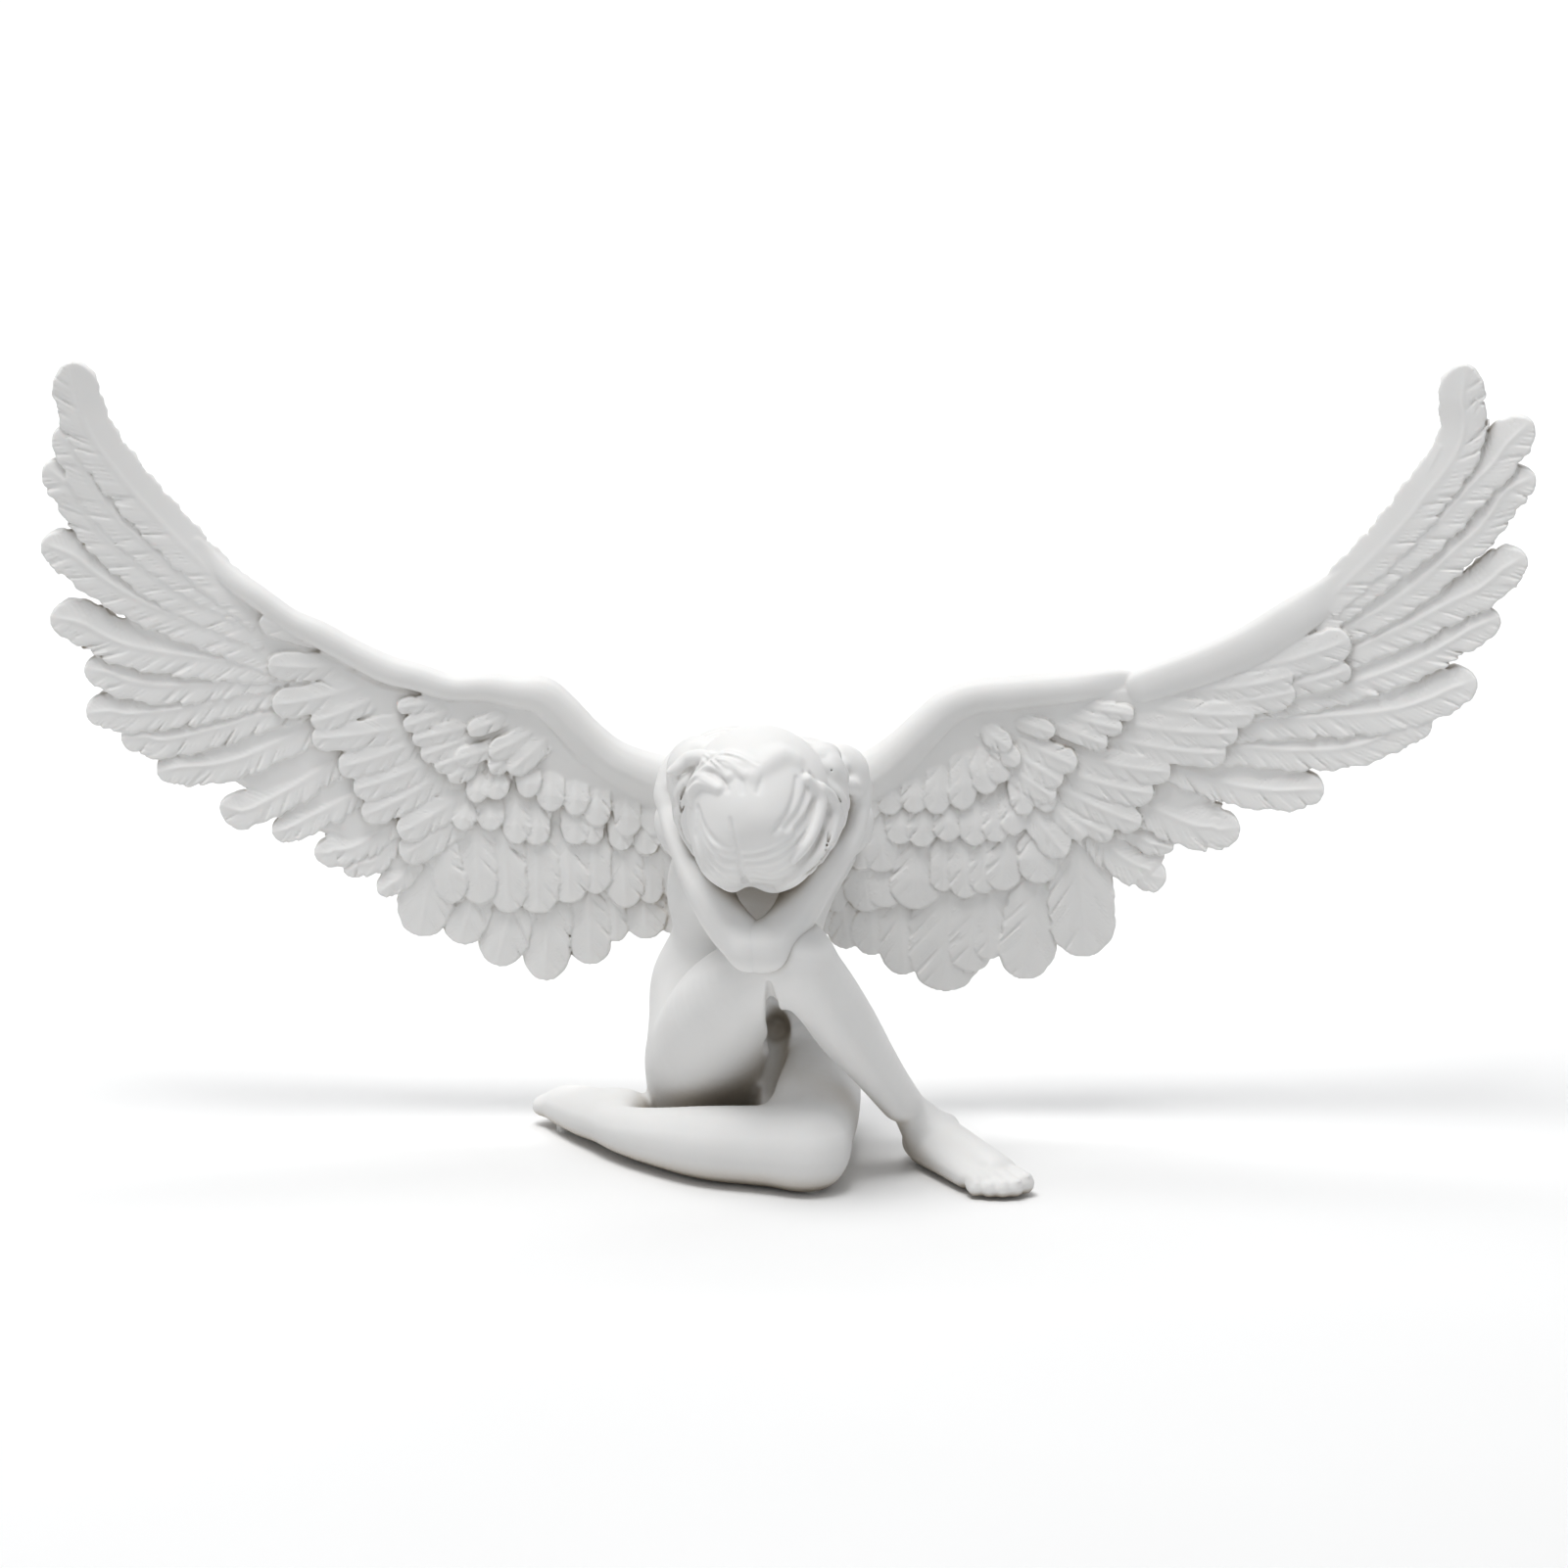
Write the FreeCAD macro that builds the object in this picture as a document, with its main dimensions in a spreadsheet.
import FreeCAD, Part
import math
import os

# Resin angel figurine: a seated, bowed figure with two large spread wings.
# Millimetres, +Z up, +X to the viewer's right, the figure faces -Y, so its own right is -X.
# The origin is the centre of the underside of the seat pad, on the table.

V = FreeCAD.Vector
doc = FreeCAD.newDocument("resin_angel_figurine")

# ------------------------------------------------------------- dimensions
# (alias, value or sheet formula), in millimetres and degrees
DIMS = [
    # body
    ("base_gap", 0.6),            # casting stands this far above the table
    ("ground_cut_depth", 20.0), ("ground_cut_width", 200.0),
    ("ground_cut_height", "=ground_cut_depth + base_gap"),
    ("pelvis_rx", 18.5), ("pelvis_ry", 14.0), ("pelvis_rz", 17.0),
    ("waist_rx", 17.0), ("waist_ry", 9.4), ("waist_rz", 22.0),
    ("chest_rx", 17.6), ("chest_ry", 10.2), ("chest_rz", 18.0), ("chest_lean", 22.0),
    ("hip_radius", 12.5), ("thigh_end_radius", 8.6),
    ("raised_knee_radius", 8.0), ("folded_knee_radius", 8.4),
    ("calf_radius", 7.2), ("ankle_radius", 5.2),
    ("heel_radius", 5.2), ("toe_radius", 4.2),
    ("shoulder_radius", 7.0), ("neck_radius", 6.0),
    # arms and head
    ("upper_arm_radius", 5.4), ("elbow_radius", 4.0),
    ("forearm_radius", 4.4), ("wrist_radius", 3.2), ("hand_radius", 3.8),
    ("hair_rx", 16.0), ("hair_ry", 15.5), ("hair_rz", 15.0),
    ("face_rx", 9.5), ("face_ry", 13.0), ("face_rz", 10.0),
    # wing layers, cut from slabs that follow an upright arc
    ("wing_arc_radius", 720.0), ("wing_arc_x", 8.0), ("wing_root_y", 10.5),
    ("slab_base_z", -5.0), ("slab_height", 190.0), ("slab_sweep", 40.0),
    ("prism_half_depth", 60.0),
    ("flight_thick", 3.4), ("covert_thick", 5.2), ("arm_thick", 7.4),
    # wing root boss and its seat in the back
    ("root_boss_radius", 7.5), ("root_boss_length", 12.0), ("boss_overhang", 2.0),
    ("boss_full_length", "=root_boss_length + boss_overhang"),
    ("boss_clearance", 0.15), ("root_centre_z", 60.5), ("root_centre_x", 12.0),
    ("boss_seat_radius", "=root_boss_radius + boss_clearance"),
    ("boss_seat_length", 30.0),
    ("slide_angle", 20.0),        # wing pulls off this far outward from +Y
    # wing peg and locating pin
    ("peg_radius", 2.0), ("peg_length", 26.0), ("peg_rise", 3.5),
    ("pin_radius", 1.25), ("pin_length", 20.0), ("pin_drop", 3.7),
    ("fixing_overhang", 1.5),     # peg and pin start this far outside the root centre
    ("socket_clearance", 0.05), ("socket_overlap", 1.0), ("socket_end_gap", 0.5),
    # hidden dowels and pads
    ("neck_dowel_radius", 2.0), ("neck_dowel_length", 12.0),
    ("shoulder_dowel_radius", 1.5), ("shoulder_dowel_length", 10.0),
    ("seat_pad_radius", 6.0), ("small_pad_radius", 1.8), ("pad_height", 1.6),
]
for kind in ("peg", "pin"):
    DIMS += [
        (kind + "_socket_radius", "=%s_radius + socket_clearance" % kind),
        (kind + "_socket_length", "=%s_length - root_boss_length + socket_overlap"
         " - fixing_overhang + socket_end_gap" % kind),
    ]
for kind in ("flight", "covert", "arm"):
    DIMS += [
        (kind + "_outer_radius", "=wing_arc_radius + %s_thick / 2" % kind),
        (kind + "_inner_radius", "=wing_arc_radius - %s_thick / 2" % kind),
    ]

sheet = doc.addObject("Spreadsheet::Sheet", "dims")
for row, (alias, value) in enumerate(DIMS, start=1):
    sheet.set("A%d" % row, alias.replace("_", " "))
    sheet.set("B%d" % row, str(value))
    sheet.setAlias("B%d" % row, alias)
doc.recompute()


def dim(alias):
    return float(sheet.get(alias))


# -------------------------------------------------------------- landmarks
SIDES = {"right": -1.0, "left": 1.0}    # sign of X on each side

# The right leg is raised at the knee, the left leg is folded on the ground.
LEGS = {
    "right": dict(hip=V(-10, -8, 15), knee=V(6.8, -48, 49.5), ankle=V(33, -26, 8.6),
                  heel=V(32, -23.5, 5.3), toe=V(49, -52, 4.3),
                  knee_alias="raised_knee_radius"),
    "left": dict(hip=V(7, 1, 12.7), knee=V(9.5, -44, 8.6), ankle=V(-30, -20, 6.8),
                 heel=V(-29.5, -10.5, 7.2), toe=V(-43.5, 2.5, 5.1),
                 knee_alias="folded_knee_radius"),
}
CALF_SHARE = 0.32                       # calf's place along the shin from the knee
ARMS = {
    "right": dict(shoulder=V(-15, -16, 71), elbow=V(-6.0, -55, 54.0),
                  wrist=V(-17, -29, 77), fingers=V(-11, -18, 84)),
    "left": dict(shoulder=V(15, -16, 71), elbow=V(0.6, -55, 54.0),
                 wrist=V(17, -29, 77), fingers=V(11, -18, 84)),
}
PELVIS, WAIST, RIB_CAGE = V(-1.2, -1, 17), V(-1.0, -2.4, 40), V(0.0, -8.8, 59.5)
NECK_BASE, NECK_SEAM, NECK_TOP = V(0, -13, 70), V(0, -24, 74.5), V(0, -38, 78)
HAIR, FACE = V(0.4, -44, 79.5), V(0.2, -42, 71)

# pad name: (x, y, radius alias)
PADS = {
    "seat": (0, 0, "seat_pad_radius"),
    "toe": (45.4, -46.0, "small_pad_radius"),
    "knee": (LEGS["left"]["knee"].x, LEGS["left"]["knee"].y, "small_pad_radius"),
    "shin": (-5.0, -36.4, "small_pad_radius"),
    "foot": (-42.0, 1.0, "small_pad_radius"),
}

# ---------------------------------------------------------- wing outlines
# All points are (X, Z).
# lead: upper edge from root to tip; trail: lower edge from tip to root.
# covert_edge, arm_edge: lower edges of the two thicker layers, outer end to root.
# edge_stop: the thicker layers follow the lead points from EDGE_START up to this index.
EDGE_START = 2
WINGS = {
    "right": dict(
        edge_stop=15,
        lead=[
            (-4.0, 68.0), (-9.0, 74.5), (-20.6, 77.4), (-28.8, 77.7), (-34.5, 80.7),
            (-39.4, 86.0), (-44.5, 92.9), (-50.2, 96.6), (-59.3, 97.1), (-67.9, 97.0),
            (-77.6, 100.4), (-85.7, 103.4), (-95.1, 108.5), (-102.3, 113.2),
            (-111.2, 120.5), (-118.1, 127.5), (-123.9, 134.7), (-128.7, 141.8),
            (-133.9, 151.2), (-137.5, 159.2), (-140.5, 164.0), (-144.4, 163.9),
            (-145.9, 162.1)],
        trail=[
            (-146.1, 160.3), (-145.6, 157.4), (-144.7, 152.9), (-145.2, 150.1),
            (-144.9, 145.0), (-147.3, 143.4), (-147.0, 139.9), (-146.1, 135.8),
            (-144.2, 132.7), (-145.3, 128.0), (-148.7, 126.9), (-147.7, 124.6),
            (-145.8, 121.2), (-142.0, 117.8), (-139.6, 114.6), (-146.8, 112.0),
            (-146.3, 109.3), (-141.3, 104.8), (-137.9, 101.7), (-140.6, 100.6),
            (-138.4, 97.2), (-135.1, 93.7), (-140.6, 91.0), (-137.6, 88.0),
            (-133.9, 85.8), (-133.5, 84.5), (-131.4, 83.0), (-126.8, 79.7),
            (-126.1, 77.1), (-122.3, 74.7), (-115.6, 74.4), (-112.9, 72.0),
            (-113.5, 70.0), (-110.8, 65.2), (-106.1, 65.3), (-101.8, 66.2),
            (-102.9, 63.7), (-101.1, 61.6), (-96.2, 61.8), (-94.2, 59.0),
            (-89.8, 56.2), (-87.4, 54.2), (-81.3, 54.0), (-79.9, 50.0),
            (-78.3, 46.8), (-75.9, 43.3), (-69.3, 40.8), (-64.2, 39.0),
            (-61.4, 38.1), (-58.7, 34.9), (-56.3, 34.4), (-52.7, 36.0),
            (-49.3, 32.2), (-45.0, 31.0), (-41.0, 37.2), (-36.3, 34.3),
            (-33.4, 37.7), (-29.8, 41.3), (-24.9, 39.8), (-20.1, 40.6),
            (-11.0, 43.0), (-4.0, 50.0)],
        covert_edge=[
            (-104.1, 110.1), (-105.4, 107.7), (-102.6, 103.5), (-103.5, 97.2),
            (-102.4, 90.5), (-99.0, 88.1), (-93.8, 84.4), (-88.5, 78.0),
            (-85.5, 73.1), (-83.7, 67.4), (-76.4, 63.8), (-75.7, 56.6),
            (-70.0, 52.3), (-64.3, 48.4), (-59.4, 46.8), (-53.3, 46.0),
            (-47.5, 46.0), (-40.9, 47.6), (-35.1, 49.2), (-29.0, 47.0),
            (-20.1, 48.5), (-8.0, 50.0)],
        arm_edge=[
            (-111.6, 119.5), (-105.3, 113.5), (-97.7, 107.3), (-92.3, 103.8),
            (-85.7, 100.3), (-80.3, 96.7), (-72.6, 93.4), (-67.1, 91.6),
            (-61.2, 90.9), (-55.7, 90.4), (-48.4, 88.0), (-44.3, 79.0),
            (-37.1, 72.0), (-21.3, 66.4), (-8.0, 64.0)]),
    "left": dict(
        edge_stop=14,
        lead=[
            (4.0, 68.0), (9.0, 74.5), (19.8, 77.4), (24.9, 79.4), (32.9, 87.6),
            (36.3, 91.2), (44.9, 95.0), (62.0, 97.4), (79.1, 99.6), (89.6, 103.3),
            (98.0, 107.3), (107.2, 111.9), (114.1, 116.4), (121.1, 122.4),
            (126.5, 129.8), (131.3, 138.0), (134.9, 145.9), (137.2, 153.1),
            (139.8, 161.1), (143.2, 164.1)],
        trail=[
            (145.6, 163.3), (147.5, 157.7), (148.2, 153.9), (151.7, 153.6),
            (155.9, 153.7), (157.5, 151.8), (156.4, 146.6), (154.5, 143.1),
            (157.9, 141.6), (158.0, 140.4), (155.5, 136.0), (152.9, 130.8),
            (151.5, 127.8), (154.1, 126.5), (156.8, 124.3), (156.8, 121.7),
            (154.5, 117.9), (150.3, 113.4), (151.7, 111.4), (151.4, 109.1),
            (148.7, 105.7), (143.8, 101.5), (146.7, 98.8), (146.2, 94.4),
            (142.6, 90.9), (138.5, 88.9), (135.8, 85.4), (132.4, 82.4),
            (127.5, 80.1), (118.3, 76.8), (116.7, 73.4), (115.3, 70.4),
            (111.3, 69.0), (100.2, 68.3), (99.2, 64.7), (98.1, 61.5),
            (95.2, 59.7), (87.7, 59.5), (83.4, 57.9), (84.3, 53.3),
            (83.1, 50.9), (79.0, 50.6), (73.1, 51.7), (73.0, 43.2),
            (69.5, 37.2), (67.3, 36.5), (62.5, 38.8), (59.7, 35.7),
            (56.8, 32.5), (51.7, 32.6), (49.4, 34.9), (47.6, 34.9),
            (44.3, 31.4), (40.8, 29.5), (37.9, 28.8), (35.0, 29.6),
            (32.7, 32.4), (30.2, 32.1), (28.6, 33.6), (26.3, 36.2),
            (22.2, 36.6), (19.9, 37.0), (11.0, 41.0), (4.0, 50.0)],
        covert_edge=[
            (120.9, 108.2), (120.2, 105.7), (109.5, 95.3), (101.9, 88.2),
            (95.9, 81.4), (89.9, 78.1), (84.1, 73.7), (78.9, 65.6),
            (72.3, 63.1), (67.6, 62.8), (63.6, 58.1), (57.9, 52.9),
            (49.5, 50.7), (42.1, 49.1), (37.6, 50.5), (30.8, 46.6),
            (25.6, 47.0), (21.7, 46.1), (8.0, 48.0)],
        arm_edge=[
            (111.6, 111.6), (100.7, 103.4), (89.6, 96.9), (78.1, 92.4),
            (68.0, 91.6), (59.2, 89.6), (50.7, 88.4), (43.9, 86.6),
            (39.2, 84.7), (33.5, 80.2), (28.5, 72.0), (19.8, 66.0),
            (8.0, 64.0)]),
}
# top corner at the root of each thicker layer (distance from X = 0, Z),
# and how far its upper edge sits inside the lead points in both X and Z
COVERT_CORNER, COVERT_INSET = (8.0, 70.0), 0.5
ARM_CORNER, ARM_INSET = (8.0, 69.0), 0.9


# --------------------------------------------------------- shape builders
def bind(obj, **aliases):
    """Drive each named length of obj from a spreadsheet alias."""
    for prop, alias in aliases.items():
        obj.setExpression(prop, "dims.%s * 1 mm" % alias)


def frame_to(point, direction):
    return FreeCAD.Placement(point, FreeCAD.Rotation(V(0, 0, 1), direction))


def sphere(name, centre, radius):
    obj = doc.addObject("Part::Sphere", name)
    bind(obj, Radius=radius)
    obj.Placement.Base = centre
    return obj


def cone(name, start, end, start_radius, end_radius):
    obj = doc.addObject("Part::Cone", name)
    axis = end.sub(start)
    bind(obj, Radius1=start_radius, Radius2=end_radius)
    obj.Height = axis.Length
    obj.Placement = frame_to(start, axis)
    return obj


def cylinder(name, start, direction, radius, length):
    obj = doc.addObject("Part::Cylinder", name)
    bind(obj, Radius=radius, Height=length)
    obj.Placement = frame_to(start, direction)
    return obj


def ellipsoid(name, centre, prefix, rotation=FreeCAD.Rotation()):
    obj = doc.addObject("Part::Ellipsoid", name)
    # Radius1 runs along Z, Radius2 along X, Radius3 along Y
    bind(obj, Radius1=prefix + "_rz", Radius2=prefix + "_rx", Radius3=prefix + "_ry")
    obj.Placement = FreeCAD.Placement(centre, rotation)
    return obj


def boolean(kind, name, base, tool):
    obj = doc.addObject("Part::" + kind, name)
    obj.Base = base
    obj.Tool = tool
    return obj


def fuse(name, parts):
    """Join the parts one after another, which keeps the curved seams clean."""
    joined = parts[0]
    for i, part in enumerate(parts[1:], start=2):
        step_name = name if i == len(parts) else "%s_%d" % (name, i)
        joined = boolean("Fuse", step_name, joined, part)
    return joined


def cut(name, base, tool):
    return boolean("Cut", name, base, tool)


def compound(name, parts):
    obj = doc.addObject("Part::Compound", name)
    obj.Links = parts
    return obj


# ------------------------------------------------------------------- body
def leg(side, hip, knee, ankle, heel, toe, knee_alias):
    calf = knee + (ankle - knee) * CALF_SHARE
    return [
        cone(side + "_thigh", hip, knee, "hip_radius", knee_alias),
        sphere(side + "_thigh_start", hip, "hip_radius"),
        sphere(side + "_knee", knee, knee_alias),
        cone(side + "_shin_upper", knee, calf, knee_alias, "calf_radius"),
        cone(side + "_shin_lower", calf, ankle, "calf_radius", "ankle_radius"),
        sphere(side + "_ankle", ankle, "ankle_radius"),
        cone(side + "_foot", heel, toe, "heel_radius", "toe_radius"),
        sphere(side + "_heel", heel, "heel_radius"),
        sphere(side + "_toes", toe, "toe_radius"),
    ]


def figure_solid():
    """Torso, neck base and legs; the rib cage leans forward to the shoulders."""
    lean = FreeCAD.Rotation(V(1, 0, 0), dim("chest_lean"))
    pieces = [
        ellipsoid("pelvis", PELVIS, "pelvis"),
        ellipsoid("waist", WAIST, "waist"),
        ellipsoid("rib_cage", RIB_CAGE, "chest", lean),
    ]
    pieces += [sphere(side + "_shoulder", ARMS[side]["shoulder"], "shoulder_radius")
               for side in SIDES]
    pieces.append(cone("neck_base", NECK_BASE, NECK_SEAM, "neck_radius", "neck_radius"))
    for side in SIDES:
        pieces += leg(side, **LEGS[side])
    return fuse("figure_solid", pieces)


def ground_cut():
    """Box that trims the casting flat just above the table."""
    box = doc.addObject("Part::Box", "ground_cut")
    bind(box, Length="ground_cut_width", Width="ground_cut_width", Height="ground_cut_height")
    half_width = dim("ground_cut_width") / 2
    box.Placement.Base = V(-half_width, -half_width, -dim("ground_cut_depth"))
    return box


def dowel(name, seam, axis, prefix):
    """A dowel centred on a seam point, along a unit axis."""
    start = seam - axis * (dim(prefix + "_length") / 2)
    return cylinder(name, start, axis, prefix + "_radius", prefix + "_length")


def neck_dowel_piece():
    axis = (NECK_TOP - NECK_SEAM).normalize()
    return dowel("neck_dowel", NECK_SEAM, axis, "neck_dowel")


def shoulder_dowel(side):
    """Crosses the surface of the shoulder ball, along the upper arm."""
    shoulder = ARMS[side]["shoulder"]
    axis = (ARMS[side]["elbow"] - shoulder).normalize()
    seam = shoulder + axis * dim("shoulder_radius")
    return dowel(side + "_shoulder_dowel", seam, axis, "shoulder_dowel")


# ------------------------------------------------------------- wing roots
def slide_direction(side):
    """Direction in which the wing pulls off, backward and outward."""
    angle = math.radians(dim("slide_angle"))
    return V(SIDES[side] * math.sin(angle), math.cos(angle), 0)


def root_point(side, depth, rise=0.0):
    """Point at a depth into the body from the root centre, raised by rise."""
    centre = V(SIDES[side] * dim("root_centre_x"), dim("wing_root_y"), dim("root_centre_z"))
    return centre - slide_direction(side) * depth + V(0, 0, rise)


def root_cylinder(name, side, depth, prefix, length, rise=0.0):
    """Cylinder running into the body along the wing's slide axis."""
    return cylinder(name, root_point(side, depth, rise), slide_direction(side) * -1.0,
                    prefix + "_radius", length)


RISES = {"peg": dim("peg_rise"), "pin": -dim("pin_drop")}


def wing_fixing(name, side, kind):
    return root_cylinder(name, side, -dim("fixing_overhang"), kind, kind + "_length",
                         RISES[kind])


def root_openings(side):
    """Seat for the root boss, open to the back, and the peg and pin sockets."""
    reach = dim("root_boss_length")
    openings = [cylinder(side + "_boss_seat", root_point(side, reach), slide_direction(side),
                         "boss_seat_radius", "boss_seat_length")]
    for kind, rise in RISES.items():
        socket = kind + "_socket"
        openings.append(root_cylinder(side + "_" + socket, side, reach - dim("socket_overlap"),
                                      socket, socket + "_length", rise))
    return openings


# ---------------------------------------------------------- arms and head
def arm_solid(side, shoulder, elbow, wrist, fingers):
    return fuse(side + "_arm_solid", [
        cone(side + "_upper_arm", shoulder, elbow, "upper_arm_radius", "elbow_radius"),
        sphere(side + "_elbow", elbow, "elbow_radius"),
        cone(side + "_forearm", elbow, wrist, "forearm_radius", "wrist_radius"),
        cone(side + "_hand", wrist, fingers, "wrist_radius", "hand_radius"),
        sphere(side + "_wrist", wrist, "wrist_radius"),
        sphere(side + "_fingers", fingers, "hand_radius"),
    ])


def head_solid():
    return fuse("head_solid", [
        ellipsoid("hair_mass", HAIR, "hair"),
        ellipsoid("face_mass", FACE, "face"),
        cone("neck_upper", NECK_SEAM, NECK_TOP, "neck_radius", "neck_radius"),
    ])


# ------------------------------------------------------------------ wings
def outline(name, points):
    """Closed sketch standing upright in X and Z, with its normal along -Y."""
    sketch = doc.addObject("Sketcher::SketchObject", name)
    sketch.Placement = FreeCAD.Placement(V(0, 0, 0), FreeCAD.Rotation(V(1, 0, 0), 90))
    corners = [V(x, z, 0) for x, z in points]
    ends = corners[1:] + corners[:1]
    sketch.addGeometry([Part.LineSegment(a, b) for a, b in zip(corners, ends)], False)
    return sketch


def slab(name, side, kind):
    """Part of an upright tube centred in front, so that the tips sweep forward."""
    centre = V(SIDES[side] * dim("wing_arc_x"),
               dim("wing_root_y") - dim("wing_arc_radius"), dim("slab_base_z"))
    sweep = dim("slab_sweep")
    sectors = []
    for face in ("outer", "inner"):
        sector = doc.addObject("Part::Cylinder", "%s_%s" % (name, face))
        bind(sector, Radius="%s_%s_radius" % (kind, face), Height="slab_height")
        sector.Angle = sweep
        # the sector is spread evenly about +Y
        turn = FreeCAD.Rotation(V(0, 0, 1), 90 - sweep / 2)
        sector.Placement = FreeCAD.Placement(centre, turn)
        sectors.append(sector)
    return cut(name, *sectors)


def wing_layer(name, side, points, kind):
    prism = doc.addObject("Part::Extrusion", name + "_prism")
    prism.Base = outline(name + "_outline", points)
    prism.DirMode = "Custom"
    prism.Dir = V(0, 1, 0)
    bind(prism, LengthFwd="prism_half_depth", LengthRev="prism_half_depth")
    prism.Solid = True
    return boolean("Common", name, prism, slab(name + "_slab", side, kind))


def upper_edge(side, corner, inset):
    """Root corner, then the lead points moved toward the middle and down."""
    sign = SIDES[side]
    lead = WINGS[side]["lead"][EDGE_START:WINGS[side]["edge_stop"]]
    return [(sign * corner[0], corner[1])] + [(x - sign * inset, z - inset) for x, z in lead]


def wing_casting(side, fixings):
    table = WINGS[side]
    covert_points = upper_edge(side, COVERT_CORNER, COVERT_INSET) + table["covert_edge"]
    arm_points = upper_edge(side, ARM_CORNER, ARM_INSET) + table["arm_edge"]
    solid = fuse(side + "_wing_solid", [
        wing_layer(side + "_flight_feathers", side, table["lead"] + table["trail"], "flight"),
        wing_layer(side + "_coverts", side, covert_points, "covert"),
        wing_layer(side + "_wing_arm", side, arm_points, "arm"),
        root_cylinder(side + "_root_boss", side, -dim("boss_overhang"), "root_boss",
                      "boss_full_length"),
    ])
    return cut(side + "_wing_casting", solid, fuse(side + "_wing_bores", fixings))


# --------------------------------------------------------------- assembly
figure = figure_solid()
grounded = cut("figure_grounded", figure, ground_cut())
pads = [cylinder(name + "_pad", V(x, y, 0), V(0, 0, 1), radius, "pad_height")
        for name, (x, y, radius) in PADS.items()]
neck_dowel = neck_dowel_piece()
dowels = {side: shoulder_dowel(side) for side in SIDES}
pegs = {side: wing_fixing(side + "_wing_peg", side, "peg") for side in SIDES}
pins = {side: wing_fixing(side + "_wing_locating_pin", side, "pin") for side in SIDES}
shoulder_pair = list(dowels.values())

openings = pads + root_openings("right") + root_openings("left")
openings += [neck_dowel] + shoulder_pair
arms = {side: arm_solid(side, **ARMS[side]) for side in SIDES}
# where the arms overlap, the left one gives way to the right one
right_seats = fuse("right_arm_seats", [figure, dowels["right"]])
left_seats = fuse("left_arm_seats", [figure, dowels["left"], arms["right"]])
head_seats = fuse("head_seats", [figure, arms["right"], arms["left"], neck_dowel])

SUBPARTS = {
    "body_casting": cut("body_casting", grounded, fuse("body_openings", openings)),
    "head_casting": cut("head_casting", head_solid(), head_seats),
    "right_arm_casting": cut("right_arm_casting", arms["right"], right_seats),
    "left_arm_casting": cut("left_arm_casting", arms["left"], left_seats),
    "right_wing_casting": wing_casting("right", [pegs["right"], pins["right"]]),
    "left_wing_casting": wing_casting("left", [pegs["left"], pins["left"]]),
    "right_wing_peg": pegs["right"],
    "left_wing_peg": pegs["left"],
    "right_wing_locating_pin": pins["right"],
    "left_wing_locating_pin": pins["left"],
    "neck_dowel": neck_dowel,
    "shoulder_dowels": compound("shoulder_dowels", shoulder_pair),
    "foot_pads": compound("foot_pads", pads),
}
SOLID_COUNTS = {"shoulder_dowels": len(shoulder_pair), "foot_pads": len(pads)}
for label, obj in SUBPARTS.items():
    obj.Label = label
doc.recompute()

# ----------------------------------------------------------------- export
for obj in doc.Objects:
    if "Invalid" in obj.State or "Error" in obj.State:
        raise RuntimeError("failed object: " + obj.Name)
for label, obj in SUBPARTS.items():
    shape = obj.Shape
    if shape.isNull() or not shape.isValid():
        raise RuntimeError("bad shape: " + label)
    if len(shape.Solids) != SOLID_COUNTS.get(label, 1):
        raise RuntimeError("%s has %d solids" % (label, len(shape.Solids)))

os.makedirs("parts", exist_ok=True)
for label, obj in SUBPARTS.items():
    obj.Shape.exportStep("parts/%s.step" % label)
